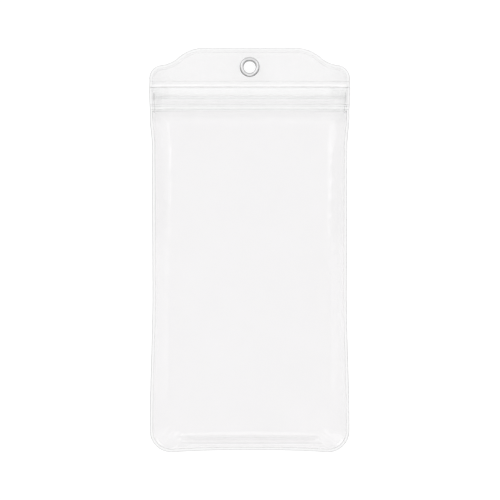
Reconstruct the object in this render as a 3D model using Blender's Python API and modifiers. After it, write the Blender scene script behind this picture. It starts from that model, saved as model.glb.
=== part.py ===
"""Clear PVC phone pouch, lying on its back with the header towards +Y.

Three die-cut sheets of film are welded together round their edges: a back sheet, a header ply above the
mouth and a front sheet below it. A press-to-close zip of two strips lies under the front sheet's lip, with
its ends crushed flat where the side welds cross them. A rolled eyelet and its washer grip the header.
Units are metres, +Z is up, and the origin is under the middle of the pouch.
"""

import math

import bmesh
import bpy

# Film and fits
FILM = 0.0003  # thickness of each sheet
FIT = 0.0003  # gap between pieces that touch
ZIP_PLAY = 0.0002  # gap round the zip's rib inside its groove

# Outline of the pouch
POUCH_LENGTH = 0.210
POUCH_WIDTH = 0.105  # across the zip, the widest place
ZIP_FLARE = 0.00045  # how far each crushed end of the zip spreads past the shoulder
FOOT_TAPER = 0.00075  # how much narrower the foot is than the zip, on each side
HEADER_CORNER_RADIUS = 0.0199
SHOULDER_HOLLOW_RADIUS = 0.0161
SHOULDER_CORNER_RADIUS = 0.0069
SHOULDER_STEEP = math.radians(41.6)  # steepest slope of the shoulder
SHOULDER_GENTLE = math.radians(6.2)  # slope where the hollow meets the outer corner
FOOT_CORNER_RADIUS = 0.011
SIDE_PULL_IN = 0.0017  # the filled pocket draws the sides in
FOOT_PULL_IN = 0.0011  # and the bottom edge up
UPPER_EASE = 0.018  # length over which the pull-in starts below the zip
LOWER_EASE = 0.075  # length over which it ends above the corners

# Welds
WELD_WIDTH = 0.002
BEAD_RISE = 0.0002  # how far the bead along the weld stands proud
WELD_RINGS = ((0.0, 0.0), (0.35, BEAD_RISE), (0.65, BEAD_RISE), (1.0, 0.0))  # (share of the width, rise)

# Mouth, zip and pocket
MOUTH_DROP = 0.0204  # from the top edge to the mouth
ZIP_TOP_DROP = 0.0007  # from the mouth to the top of the zip's tape
TAPE_WIDTH = 0.0118  # of each zip strip, along the pouch
TAPE_THICKNESS = 0.00025
JAW_DROP = 0.0040  # from the tape's top edge to the jaws
JAW_WALL = 0.0008
JAW_HOOK = 0.0005  # how far each jaw's hook reaches in
JAW_HOOK_THICKNESS = 0.00035
RIB_HEAD_WIDTH = 0.0020
RIB_NECK_WIDTH = 0.0008
RIB_HEAD_THICKNESS = 0.00045
TAPE_BEAD_WIDTH = 0.0011  # thick lower edge of each tape
TAPE_BEAD_RISE = 0.0002
RIB_TIP_SHARE = 0.55  # width of the rib's flat tip beside its head
CRUSHED_THICKNESS = 0.0002  # of each strip where its end is crushed
CRUSHED_RELIEF = 0.00004  # what is left there of the rib and the jaws
CRUSHED_LENGTH = 0.0040
CRUSH_EASE = 0.0030  # length over which a strip returns to its full section
PRESSED_RIDGES = 4  # ridges that the welding bar leaves across each crushed end
PRESSED_RISE = 0.00015
POCKET_EASE = 0.0078  # from the zip to the flat of the pocket
FLANK_WIDTH = 0.0068  # curved film between the weld and the pocket's flat
FRONT_BULGE = 0.0052
BACK_BULGE = 0.0042

# Eyelet
EYELET_DROP = 0.0099  # from the top edge to its centre
EYELET_METAL = 0.0003
EYELET_BORE_RADIUS = 0.0031
FLANGE_RADIUS = 0.00525
FLANGE_RISE = 0.0009
WASHER_THICKNESS = 0.0004
WASHER_RADIUS = 0.0050
CURL_RADIUS = 0.0005
TURNED_STEPS = 40

# Places that follow from the sizes
HEADER_WIDTH = POUCH_WIDTH - 2 * ZIP_FLARE
FOOT_WIDTH = POUCH_WIDTH - 2 * FOOT_TAPER
TOP_Y = POUCH_LENGTH / 2
FOOT_Y = -POUCH_LENGTH / 2
MOUTH_Y = TOP_Y - MOUTH_DROP
TAPE_TOP_Y = MOUTH_Y - ZIP_TOP_DROP
TAPE_END_Y = TAPE_TOP_Y - TAPE_WIDTH
JAWS_TOP_Y = TAPE_TOP_Y - JAW_DROP
GROOVE_WIDTH = RIB_HEAD_WIDTH + 2 * ZIP_PLAY
JAWS_WIDTH = GROOVE_WIDTH + 2 * JAW_WALL
CORNER_Y = FOOT_Y + FOOT_CORNER_RADIUS
EYELET_Y = TOP_Y - EYELET_DROP
BARREL_RADIUS = EYELET_BORE_RADIUS + EYELET_METAL
WELD_Z = FILM + BACK_BULGE  # upper face of the back sheet at the welds

# Heights of the zip above the back sheet
TAPE_LOW = FIT
TAPE_HIGH = TAPE_LOW + TAPE_THICKNESS
JAW_TIP = TAPE_HIGH + ZIP_PLAY
HOOK_TOP = JAW_TIP + JAW_HOOK_THICKNESS
HEAD_LOW = HOOK_TOP + ZIP_PLAY
HEAD_TOP = HEAD_LOW + RIB_HEAD_THICKNESS
GROOVE_ROOF = HEAD_TOP + ZIP_PLAY
GROOVE_TAPE_TOP = GROOVE_ROOF + TAPE_THICKNESS
LIP_HEIGHT = GROOVE_TAPE_TOP + FIT
CRUSHED_RIB_TOP = TAPE_LOW + CRUSHED_THICKNESS
CRUSHED_GROOVE_LOW = CRUSHED_RIB_TOP + FIT
CRUSHED_GROOVE_TOP = CRUSHED_GROOVE_LOW + CRUSHED_THICKNESS
CRUSHED_LIP_HEIGHT = CRUSHED_GROOVE_TOP + FIT


def eased(distance, reach):
    """0 up to 1 over the reach, level at both ends."""
    t = min(max(distance / reach, 0.0), 1.0)
    return t * t * (3.0 - 2.0 * t)


def arched(t):
    """0 up to 1, steep at first and level at the end, as puffed film leaves its weld."""
    t = min(max(t, 0.0), 1.0)
    return 1.0 - (1.0 - t) ** 2


def mix(a, b, t):
    return a + (b - a) * t


def spans(values, counts):
    """Places from the first value to the last, with so many equal steps in each span."""
    places = [values[0]]
    for low, high, count in zip(values, values[1:], counts):
        places += [mix(low, high, (i + 1) / count) for i in range(count)]
    return places


def arc(centre_x, centre_y, radius, start, end, steps):
    """Points along an arc, angles measured from +X."""
    return [
        (centre_x + radius * math.cos(a), centre_y + radius * math.sin(a))
        for a in spans((start, end), (steps,))
    ]


def side_x(y):
    """Half of the pouch's width below the shoulders, at this place along it."""
    if y > MOUTH_Y:
        shoulder_foot = TOP_Y - shoulder_drop()
        widening = eased(shoulder_foot - y, max(shoulder_foot - MOUTH_Y, FILM))
        return mix(HEADER_WIDTH, POUCH_WIDTH, widening) / 2
    along = min(max((MOUTH_Y - y) / (MOUTH_Y - CORNER_Y), 0.0), 1.0)
    pull = eased(TAPE_END_Y - y, UPPER_EASE) * eased(y - CORNER_Y, LOWER_EASE)
    return mix(POUCH_WIDTH, FOOT_WIDTH, along) / 2 - SIDE_PULL_IN * pull


def foot_y(x):
    """The bottom edge between the corners."""
    reach = FOOT_WIDTH / 2 - FOOT_CORNER_RADIUS
    return FOOT_Y + FOOT_PULL_IN * (1.0 - min(abs(x) / reach, 1.0) ** 2.5)


def shoulder_drop():
    """From the top edge to where the shoulder's outer corner meets the side."""
    return (
        HEADER_CORNER_RADIUS * (1 - math.cos(SHOULDER_STEEP))
        + SHOULDER_HOLLOW_RADIUS * (math.cos(SHOULDER_GENTLE) - math.cos(SHOULDER_STEEP))
        + SHOULDER_CORNER_RADIUS * math.cos(SHOULDER_GENTLE)
    )


def right_shoulder():
    """Points from the side up over the shoulder to the flat of the top edge."""
    quarter = math.pi / 2
    corner_x = HEADER_WIDTH / 2 - SHOULDER_CORNER_RADIUS
    corner_y = TOP_Y - shoulder_drop()
    between = SHOULDER_CORNER_RADIUS + SHOULDER_HOLLOW_RADIUS
    hollow_x = corner_x + between * math.sin(SHOULDER_GENTLE)
    hollow_y = corner_y + between * math.cos(SHOULDER_GENTLE)
    between = HEADER_CORNER_RADIUS + SHOULDER_HOLLOW_RADIUS
    top_x = hollow_x - between * math.sin(SHOULDER_STEEP)
    top_y = TOP_Y - HEADER_CORNER_RADIUS
    points = arc(corner_x, corner_y, SHOULDER_CORNER_RADIUS, 0.0, quarter - SHOULDER_GENTLE, 7)
    start, end = -quarter - SHOULDER_GENTLE, -quarter - SHOULDER_STEEP
    points += arc(hollow_x, hollow_y, SHOULDER_HOLLOW_RADIUS, start, end, 6)[1:]
    points += arc(top_x, top_y, HEADER_CORNER_RADIUS, quarter - SHOULDER_STEEP, quarter, 7)[1:]
    return points


def upper_edge():
    """The pouch's edge above the pocket, anticlockwise from the zip's lower right end to its left end."""
    shoulder = right_shoulder()
    rise = spans((TAPE_END_Y, MOUTH_Y, shoulder[0][1]), (4, 3))[:-1]
    right = [(side_x(y), y) for y in rise] + shoulder
    return right + [(-x, y) for x, y in reversed(right)]


def pocket_edge():
    """The pocket's edge, anticlockwise from the zip's lower left end round the foot to its right end."""
    upper_end = TAPE_END_Y - UPPER_EASE
    lower_end = CORNER_Y + LOWER_EASE
    left = [(-side_x(y), y) for y in spans((TAPE_END_Y, upper_end, lower_end, CORNER_Y), (5, 3, 7))]
    corner_x = FOOT_WIDTH / 2 - FOOT_CORNER_RADIUS
    left += arc(-corner_x, CORNER_Y, FOOT_CORNER_RADIUS, math.pi, 1.5 * math.pi, 8)[1:]
    foot = [(x, foot_y(x)) for x in spans((-corner_x, corner_x), (12,))[1:-1]]
    return left + foot + [(-x, y) for x, y in reversed(left)]


def zip_places():
    """Places across the zip from right to left, closer together where it is crushed."""
    half = side_x(TAPE_TOP_Y)
    crushed = half - CRUSHED_LENGTH
    full = crushed - CRUSH_EASE
    return spans((crushed, full, -full, -crushed), (3, 6, 3))


def inset(loop, distance):
    """The closed loop moved inwards, with mitred corners."""
    moved = []
    for i, (x, y) in enumerate(loop):
        before, after = loop[i - 1], loop[(i + 1) % len(loop)]
        ax, ay = x - before[0], y - before[1]
        bx, by = after[0] - x, after[1] - y
        a, b = math.hypot(ax, ay), math.hypot(bx, by)
        nx, ny = -ay / a - by / b, ax / a + bx / b
        reach = 2 * distance / (nx * nx + ny * ny)
        moved.append((x + nx * reach, y + ny * reach))
    return moved


def over_zip(x):
    """Height of the lip's inner face above the back sheet, lower where the zip is crushed."""
    crushed = side_x(TAPE_TOP_Y) - CRUSHED_LENGTH
    return mix(CRUSHED_LIP_HEIGHT, LIP_HEIGHT, eased(crushed - abs(x), CRUSH_EASE))


def pressed(x, y):
    """Rise of the ridges that the welding bar leaves over each crushed end of the zip."""
    along = min(max((JAWS_TOP_Y - y) / JAWS_WIDTH, 0.0), 1.0)
    crushed = 1.0 - eased(side_x(TAPE_TOP_Y) - CRUSHED_LENGTH - abs(x), CRUSH_EASE)
    return PRESSED_RISE * crushed * (1.0 - math.cos(2 * math.pi * PRESSED_RIDGES * along)) / 2


def front_height(x, y, across):
    """Height of the front sheet's inner face above the back sheet's welds."""
    held = mix(over_zip(x), FIT, eased(TAPE_END_Y - y, POCKET_EASE))
    return mix(held, FIT + FRONT_BULGE, arched(across))


def back_height(x, y, across):
    """Height of the back sheet's inner face above its welds."""
    return -BACK_BULGE * arched(across)


def panel_point(x, y):
    """Where a point on the pocket's rim lands on the rim of its flat."""
    half = POUCH_WIDTH / 2 - WELD_WIDTH
    panel_half = side_x(0.0) - WELD_WIDTH - FLANK_WIDTH
    low = FOOT_Y + WELD_WIDTH
    panel_low = low + FOOT_PULL_IN + FLANK_WIDTH
    panel_top = TAPE_END_Y - POCKET_EASE
    return x * panel_half / half, mix(panel_low, panel_top, (y - low) / (TAPE_END_Y - low))


def add_band(bm, outer, inner, closed=True):
    """Quads between two rows of equal count, closed round the loop or open at its ends."""
    for i in range(len(outer) if closed else len(outer) - 1):
        j = (i + 1) % len(outer)
        bm.faces.new((outer[i], outer[j], inner[j], inner[i]))


def add_pocket(bm, rim, height):
    """The dished film from its rim, a closed row of vertices, to the flat in its middle."""
    rows = [rim]
    for across in (0.08, 0.2, 0.36, 0.56, 0.78, 1.0):
        row = []
        for v in rim:
            panel_x, panel_y = panel_point(v.co.x, v.co.y)
            x, y = mix(v.co.x, panel_x, across), mix(v.co.y, panel_y, across)
            row.append(bm.verts.new((x, y, WELD_Z + height(x, y, across))))
        rows.append(row)
    for outer, inner in zip(rows, rows[1:]):
        add_band(bm, outer, inner)
    bm.faces.new(rows[-1])


def to_verts(bm, points):
    return [bm.verts.new(p) for p in points]


def finish_mesh(bm, name):
    mesh = bpy.data.meshes.new(name)
    bm.to_mesh(mesh)
    bm.free()
    return mesh


def front_surface():
    """Inner face of the front sheet: the lip over the zip, the welds and the dished pocket."""
    bm = bmesh.new()
    lip = []
    jaws_low_y = JAWS_TOP_Y - JAWS_WIDTH
    for y in spans((MOUTH_Y, JAWS_TOP_Y, jaws_low_y, TAPE_END_Y), (2, 4 * PRESSED_RIDGES, 2)):
        half = side_x(y)
        weld = [(half - WELD_WIDTH * share, bead) for share, bead in WELD_RINGS]
        across = weld + [(x, 0.0) for x in zip_places()] + [(-x, bead) for x, bead in reversed(weld)]
        heights = [WELD_Z + over_zip(x) + bead + pressed(x, y) for x, bead in across]
        lip.append(to_verts(bm, [(x, y, z) for (x, _), z in zip(across, heights)]))
    for upper, lower in zip(lip, lip[1:]):
        add_band(bm, upper, lower, closed=False)

    count = len(WELD_RINGS)
    edge = pocket_edge()
    last = lip[-1]
    rows = []
    for i, (share, bead) in enumerate(WELD_RINGS):
        ring = inset(upper_edge() + edge[1:-1], WELD_WIDTH * share)[-(len(edge) - 2):]
        row = to_verts(bm, [(x, y, WELD_Z + front_height(x, y, 0.0) + bead) for x, y in ring])
        rows.append([last[-1 - i]] + row + [last[i]])
    for outer, inner in zip(rows, rows[1:]):
        add_band(bm, outer, inner, closed=False)
    add_pocket(bm, rows[-1] + last[count:-count], front_height)
    return finish_mesh(bm, "front_sheet")


def back_surface():
    """Inner face of the back sheet, flat in the header and under the zip and dished in the pocket."""
    upper = upper_edge()
    loop = upper + pocket_edge()[1:-1]
    bm = bmesh.new()
    rows = []
    for share, bead in WELD_RINGS:
        ring = inset(loop, WELD_WIDTH * share)
        rows.append(to_verts(bm, [(x, y, WELD_Z - bead) for x, y in ring]))
    for outer, inner in zip(rows, rows[1:]):
        add_band(bm, outer, inner)
    inner = rows[-1]
    across = to_verts(bm, [(x, inner[0].co.y, WELD_Z) for x in zip_places()])
    bm.faces.new(inner[: len(upper)] + list(reversed(across)))
    rim = [inner[len(upper) - 1]] + inner[len(upper):] + [inner[0]] + across
    add_pocket(bm, rim, back_height)
    bmesh.ops.reverse_faces(bm, faces=bm.faces)
    return finish_mesh(bm, "back_sheet")


def header_surface():
    """Lower face of the header ply."""
    low_y = MOUTH_Y + FIT
    edge = [(x, y) for x, y in upper_edge() if y > low_y + WELD_WIDTH + FIT]
    loop = edge + [(-side_x(low_y), low_y), (side_x(low_y), low_y)]
    bm = bmesh.new()
    rows = []
    for share, bead in WELD_RINGS:
        ring = inset(loop, WELD_WIDTH * share)
        rows.append(to_verts(bm, [(x, y, WELD_Z + FIT + bead) for x, y in ring]))
    for outer, inner in zip(rows, rows[1:]):
        add_band(bm, outer, inner)
    bm.faces.new(rows[-1])
    return finish_mesh(bm, "header_sheet")


def strip_mesh(name, full_section, crushed_section):
    """A zip strip swept across the pouch, its section going over to the crushed one at both ends.

    A section is a closed loop of (place along the pouch, height above the back sheet).
    """
    half = side_x(TAPE_TOP_Y)
    bm = bmesh.new()
    rows = []
    for x in [half] + zip_places() + [-half]:
        full = eased(half - CRUSHED_LENGTH - abs(x), CRUSH_EASE)
        row = []
        for (y, z), (crushed_y, crushed_z) in zip(full_section, crushed_section):
            end_x = side_x(y) - FIT
            place = (min(max(x, -end_x), end_x), mix(crushed_y, y, full), WELD_Z + mix(crushed_z, z, full))
            row.append(place)
        rows.append(to_verts(bm, row))
    for first, second in zip(rows, rows[1:]):
        add_band(bm, first, second)
    bm.faces.new(list(reversed(rows[0])))
    bm.faces.new(rows[-1])
    bmesh.ops.recalc_face_normals(bm, faces=bm.faces)
    return finish_mesh(bm, name)


def rib_section(tape_high, bead_high, head_half, head_low, head_top):
    """Section of the strip on the back sheet, whose arrow-headed rib stands up into the groove."""
    middle = JAWS_TOP_Y - JAWS_WIDTH / 2
    neck = RIB_NECK_WIDTH / 2
    tip = head_half * RIB_TIP_SHARE
    bead_y = TAPE_END_Y + TAPE_BEAD_WIDTH
    return [
        (TAPE_TOP_Y, TAPE_LOW),
        (TAPE_END_Y, TAPE_LOW),
        (TAPE_END_Y, bead_high),
        (bead_y, bead_high),
        (bead_y + TAPE_BEAD_RISE, tape_high),
        (middle - neck, tape_high),
        (middle - neck, head_low),
        (middle - head_half, head_low),
        (middle - tip, head_top),
        (middle + tip, head_top),
        (middle + head_half, head_low),
        (middle + neck, head_low),
        (middle + neck, tape_high),
        (TAPE_TOP_Y, tape_high),
    ]


def groove_section(tape_top, roof, bead_low, hook_top, jaw_tip):
    """Section of the strip under the front sheet, whose two hooked jaws close round the rib."""
    upper = JAWS_TOP_Y
    groove_top = upper - JAW_WALL
    groove_low = groove_top - GROOVE_WIDTH
    lower = groove_low - JAW_WALL
    bead_y = TAPE_END_Y + TAPE_BEAD_WIDTH
    return [
        (TAPE_TOP_Y, tape_top),
        (TAPE_TOP_Y, roof),
        (upper, roof),
        (upper, jaw_tip),
        (groove_top - JAW_HOOK, jaw_tip),
        (groove_top - JAW_HOOK, hook_top),
        (groove_top, hook_top),
        (groove_top, roof),
        (groove_low, roof),
        (groove_low, hook_top),
        (groove_low + JAW_HOOK, hook_top),
        (groove_low + JAW_HOOK, jaw_tip),
        (lower, jaw_tip),
        (lower, roof),
        (bead_y + TAPE_BEAD_RISE, roof),
        (bead_y, bead_low),
        (TAPE_END_Y, bead_low),
        (TAPE_END_Y, tape_top),
    ]


def rib_strip():
    full = rib_section(TAPE_HIGH, TAPE_HIGH + TAPE_BEAD_RISE, RIB_HEAD_WIDTH / 2, HEAD_LOW, HEAD_TOP)
    flat, relief = CRUSHED_RIB_TOP, CRUSHED_RELIEF
    shrunk_half = RIB_NECK_WIDTH / 2 + relief
    crushed = rib_section(flat, flat + relief, shrunk_half, flat + relief, flat + 2 * relief)
    return strip_mesh("zip_rib_strip", full, crushed)


def groove_strip():
    full = groove_section(GROOVE_TAPE_TOP, GROOVE_ROOF, GROOVE_ROOF - TAPE_BEAD_RISE, HOOK_TOP, JAW_TIP)
    flat, relief = CRUSHED_GROOVE_LOW, CRUSHED_RELIEF
    crushed = groove_section(CRUSHED_GROOVE_TOP, flat, flat - relief, flat - relief, flat - 2 * relief)
    return strip_mesh("zip_groove_strip", full, crushed)


def turned(name, profile, closed, collection, material):
    """A profile of (radius, height), open or closed, turned about the eyelet's axis."""
    mesh = bpy.data.meshes.new(name)
    edges = [(i, i + 1) for i in range(len(profile) - 1)]
    if closed:
        edges.append((len(profile) - 1, 0))
    mesh.from_pydata([(r, 0.0, z) for r, z in profile], edges, [])
    obj = bpy.data.objects.new(name, mesh)
    obj.location = (0.0, EYELET_Y, WELD_Z)
    obj.data.materials.append(material)
    collection.objects.link(obj)
    screw = obj.modifiers.new("turn", "SCREW")
    screw.steps = TURNED_STEPS
    screw.render_steps = TURNED_STEPS
    screw.use_merge_vertices = True
    screw.merge_threshold = 0.00001
    screw.use_smooth_shade = True
    return obj


def eyelet_profile():
    """Middle line of the eyelet's metal: domed flange, barrel and the curl that grips the washer."""
    seat = FIT + FILM + FIT + EYELET_METAL / 2
    line = BARREL_RADIUS - EYELET_METAL / 2
    middle = (FLANGE_RADIUS - EYELET_METAL / 2 + line) / 2
    half = FLANGE_RADIUS - EYELET_METAL / 2 - middle
    dome = [(middle + half * math.cos(a), seat + FLANGE_RISE * math.sin(a)) for a in spans((0, math.pi), (10,))]
    curl_z = -(FILM + FIT + WASHER_THICKNESS + FIT + EYELET_METAL / 2 + CURL_RADIUS)
    curl = arc(line + CURL_RADIUS, curl_z, CURL_RADIUS, math.pi, 2.35 * math.pi, 8)
    return dome + curl


def washer_profile():
    """Closed section of the washer behind the header."""
    inner, outer = BARREL_RADIUS + FIT, WASHER_RADIUS
    top = -(FILM + FIT)
    low = top - WASHER_THICKNESS
    ease = WASHER_THICKNESS / 3
    loop = [(inner, top), (outer - ease, top), (outer, top - ease), (outer, low + ease)]
    return loop + [(outer - ease, low), (inner, low)]


def make_material(name, colour, roughness, metallic, transmission):
    material = bpy.data.materials.new(name)
    material.use_nodes = True
    shader = material.node_tree.nodes["Principled BSDF"]
    shader.inputs["Base Color"].default_value = (*colour, 1.0)
    shader.inputs["Roughness"].default_value = roughness
    shader.inputs["Metallic"].default_value = metallic
    shader.inputs["Transmission Weight"].default_value = transmission
    material.diffuse_color = (*colour, 1.0)
    return material


def add_solid(mesh, collection, material):
    obj = bpy.data.objects.new(mesh.name, mesh)
    obj.data.materials.append(material)
    collection.objects.link(obj)
    return obj


def thicken(obj, thickness):
    """Film thickness added on the side that the surface faces."""
    shell = obj.modifiers.new("film", "SOLIDIFY")
    shell.thickness = thickness
    shell.offset = 1.0
    shell.use_even_offset = True


def pierce(obj, cutter):
    """The hole that the eyelet's barrel passes through."""
    hole = obj.modifiers.new("eyelet_hole", "BOOLEAN")
    hole.operation = "DIFFERENCE"
    hole.solver = "EXACT"
    hole.object = cutter


def eyelet_cutter(collection):
    bpy.ops.mesh.primitive_cylinder_add(
        vertices=TURNED_STEPS,
        radius=BARREL_RADIUS + FIT,
        depth=4 * (FILM + FIT + BEAD_RISE),
        location=(0.0, EYELET_Y, WELD_Z),
    )
    cutter = bpy.context.object
    cutter.name = "eyelet_cutter"
    cutter.hide_render = True
    cutter.display_type = "WIRE"
    for owner in list(cutter.users_collection):
        owner.objects.unlink(cutter)
    collection.objects.link(cutter)
    return cutter


def build():
    for obj in list(bpy.data.objects):
        bpy.data.objects.remove(obj, do_unlink=True)
    pouch = bpy.data.collections.new("phone_pouch")
    cutters = bpy.data.collections.new("cutters")
    bpy.context.scene.collection.children.link(pouch)
    bpy.context.scene.collection.children.link(cutters)

    back_film = make_material("back_film", (0.95, 0.94, 0.945), 0.10, 0.0, 0.9)
    header_film = make_material("header_film", (0.96, 0.96, 0.96), 0.08, 0.0, 0.9)
    front_film = make_material("front_film", (0.95, 0.94, 0.945), 0.08, 0.0, 0.9)
    groove_plastic = make_material("groove_plastic", (0.92, 0.93, 0.925), 0.2, 0.0, 0.8)
    rib_plastic = make_material("rib_plastic", (0.92, 0.93, 0.925), 0.2, 0.0, 0.8)
    eyelet_metal = make_material("eyelet_metal", (0.72, 0.72, 0.72), 0.15, 1.0, 0.0)
    washer_metal = make_material("washer_metal", (0.68, 0.68, 0.68), 0.25, 1.0, 0.0)

    cutter = eyelet_cutter(cutters)
    back = add_solid(back_surface(), pouch, back_film)
    thicken(back, FILM)
    pierce(back, cutter)
    header = add_solid(header_surface(), pouch, header_film)
    thicken(header, FILM)
    pierce(header, cutter)
    front = add_solid(front_surface(), pouch, front_film)
    thicken(front, FILM)

    add_solid(groove_strip(), pouch, groove_plastic)
    add_solid(rib_strip(), pouch, rib_plastic)

    eyelet = turned("eyelet", eyelet_profile(), False, pouch, eyelet_metal)
    metal = eyelet.modifiers.new("metal", "SOLIDIFY")
    metal.thickness = EYELET_METAL
    metal.offset = 0.0
    metal.use_even_offset = True
    turned("eyelet_washer", washer_profile(), True, pouch, washer_metal)


build()
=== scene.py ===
"""Looks of the clear PVC phone pouch: puffed film, fused edge seam, press-to-close zip and rolled eyelet."""

import math

import bmesh
import bpy
import numpy as np
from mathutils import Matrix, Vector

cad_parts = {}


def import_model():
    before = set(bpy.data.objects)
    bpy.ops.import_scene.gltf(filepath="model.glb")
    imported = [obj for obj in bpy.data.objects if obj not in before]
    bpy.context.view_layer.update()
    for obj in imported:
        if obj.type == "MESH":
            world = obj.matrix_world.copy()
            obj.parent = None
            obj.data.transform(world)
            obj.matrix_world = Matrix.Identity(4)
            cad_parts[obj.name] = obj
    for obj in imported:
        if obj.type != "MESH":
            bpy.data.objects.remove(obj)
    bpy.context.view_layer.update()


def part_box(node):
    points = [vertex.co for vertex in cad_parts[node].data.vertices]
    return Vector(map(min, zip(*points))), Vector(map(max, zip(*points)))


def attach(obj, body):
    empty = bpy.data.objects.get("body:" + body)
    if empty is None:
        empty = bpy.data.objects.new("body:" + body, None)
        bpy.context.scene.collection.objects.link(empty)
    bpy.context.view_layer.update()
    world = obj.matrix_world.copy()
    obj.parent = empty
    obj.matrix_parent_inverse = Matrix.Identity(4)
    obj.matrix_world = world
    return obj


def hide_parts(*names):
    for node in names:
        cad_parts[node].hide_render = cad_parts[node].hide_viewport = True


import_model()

MM = 0.001

# Sizes of the pouch, in metres, as its construction has them
POUCH_LENGTH = 0.210
POUCH_WIDTH = 0.105
ZIP_FLARE = 0.00045
FOOT_TAPER = 0.00075
HEADER_CORNER_RADIUS = 0.0199
SHOULDER_HOLLOW_RADIUS = 0.0161
SHOULDER_CORNER_RADIUS = 0.0069
SHOULDER_STEEP = math.radians(41.6)
SHOULDER_GENTLE = math.radians(6.2)
FOOT_CORNER_RADIUS = 0.011
SIDE_PULL_IN = 0.0017
FOOT_PULL_IN = 0.0011
FOOT_PULL_POWER = 2.5
UPPER_EASE = 0.018
LOWER_EASE = 0.075
MOUTH_DROP = 0.0204
EYELET_DROP = 0.0099
FILM = 0.0003
FIT = 0.0003
TAPE_TOP = 0.0007  # distances below the mouth
JAWS_TOP = 0.0047
JAWS_END = 0.0087
TAPE_END = 0.0125
CRUSHED_LENGTH = 0.0040
CRUSH_EASE = 0.0045
POCKET_EASE = 0.0078
FLANK_WIDTH = 0.0084
FRONT_BULGE = 0.0052
BACK_BULGE = 0.00417
ARCH_POWER = 1.7  # how steeply the flanks rise from the seam
LIP_HEIGHT = 0.00245
BARREL_RADIUS = 0.00347
FLANGE_RADIUS = 0.00517

HALF_WIDTH = POUCH_WIDTH / 2
HEADER_HALF = HALF_WIDTH - ZIP_FLARE
FOOT_HALF = HALF_WIDTH - FOOT_TAPER
TOP_Y = POUCH_LENGTH / 2
FOOT_Y = -POUCH_LENGTH / 2
MOUTH_Y = TOP_Y - MOUTH_DROP
TAPE_TOP_Y = MOUTH_Y - TAPE_TOP
JAWS_TOP_Y = MOUTH_Y - JAWS_TOP
JAWS_END_Y = MOUTH_Y - JAWS_END
TAPE_END_Y = MOUTH_Y - TAPE_END
CORNER_Y = FOOT_Y + FOOT_CORNER_RADIUS
EYELET_Y = TOP_Y - EYELET_DROP
WELD_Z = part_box("header_sheet")[0][2] - FIT  # upper face of the back ply at the welds
SEAM_Z = WELD_Z + FIT / 2
CRUSHED_LIP_HEIGHT = 0.0011  # the lip's inner face over the zip's crushed ends

# The fused seam and the plies that run into it
SEAM_WIDTH = 0.0015
SEAM_THICKNESS = 0.00078
PLY_START = SEAM_WIDTH + 0.00003  # where a ply's own surface begins, in from the cut edge
# fine sealed lines below the jaws: distance from the mouth, thickness
SEAL_LINES = ((0.00910, 0.00014), (0.0100, 0.00006), (0.0117, 0.00006))
LIP_BEAD = 0.0005  # rounded rim along the lip
HEADER_LIFT = 0.0016  # from the lip up to the header's front ply
PLY_GAP = 0.00004  # between the plies where they run into the seam
SEAM_REST = FIT / 2 + PLY_GAP  # a front ply's inner face where it runs into the seam
PINCH_REACH = 0.0012  # over which the plies are drawn together beside the seam
HOLE_RADIUS = BARREL_RADIUS + FIT / 2

# Where the zip draws the sides in: depths, and distances from the mouth
DRAWN_IN = 0.0003
DRAWN_ABOVE, DRAWN_ABOVE_EASE = 0.006, 0.005
DRAWN_BELOW, DRAWN_BELOW_EASE = 0.028, 0.012
WAIST, WAIST_DROP, WAIST_WIDTH = 0.0004, 0.0125, 0.0045

# How the lip's film rides over the zip
LIP_SAG = 0.00042
JAWS_SWELL, JAWS_EDGE = 0.00010, 0.0003
BEAD_SWELL, BEAD_MIDDLE, BEAD_WIDTH = 0.00012, 0.0006, 0.0005
CRUSHED_SWELL = 0.3  # share of the swell that is left over the crushed ends
SWELL_FADE = 0.003  # over which the swell ends below the tape

# Folds and wavers of the pocket's film
FOOT_CREASES = ((0.00040, 0.0046, 0.0005), (0.0011, 0.0076, 0.0011))  # depth, distance from the foot, width
CREASE_HALF, CREASE_FADE = 0.030, 0.010
CORNER_FOLD, CORNER_FOLD_WIDTH, CORNER_FOLD_LENGTH = 0.0003, 0.0004, 0.0022
CORNER_FOLD_X, CORNER_FOLD_Y = 0.0474, -0.1000
GATHER_SHIFT, GATHER_START, GATHER_FADE = 0.006, 0.004, 0.016
# height, wave's length in mm and start: of the flank's waver, then of the gathered corners'
FRONT_WAVERS = ((0.00014, 21.0, 0.6), (0.0004, 7.0, 2.1))
BACK_WAVERS = ((0.00012, 24.0, 2.9), (0.0003, 7.5, 0.4))
FRONT_HELD, BACK_HELD = 0.25, 0.0  # shares of the waver that the zip's end leaves
POCKET_CORNERS = ((-0.047, 0.068), (0.047, 0.068))  # the upper ones, where the film is eased
EASED_REACH, EASING_TURNS = 0.018, 90

# How finely the pieces are laid
ACROSS = 190
LIP_ROWS = 64
FLANK_RINGS, FLANK_CLOSENESS = 26, 1.25  # closer towards the seam
FLAT_RINGS = (0.985, 0.95, 0.88, 0.78, 0.66, 0.52, 0.38, 0.24, 0.12, 0.03)  # shares of the flat
HOLE_RINGS, HOLE_CLOSENESS = 14, 0.8  # closer towards the hole
SECTION_POINTS = 44
STRIP_STEPS = 160
TURN_STEPS = 128
LINE_POINTS, WELD_POINTS = 150, 160
ROUND_SHARE = 0.49  # a corner's share of the thickness where a bar is round
SHARP_ABOVE = 38.0  # degrees between faces

# The eyelet and its washer
METAL = 0.0003
DOME_HEIGHT = 0.0009
CURL_DROP, CURL_RADIUS = 0.00185, 0.0005
WASHER_PLAY, WASHER_RADIUS, WASHER_THICKNESS, WASHER_ROUND = 0.0002, 0.0050, 0.0004, 0.00013
ROLL_POWER = 0.7  # a tighter roll from the dome into the barrel
TURNING_MARKS, TURNING_DEPTH = 900.0, 0.000004

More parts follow.
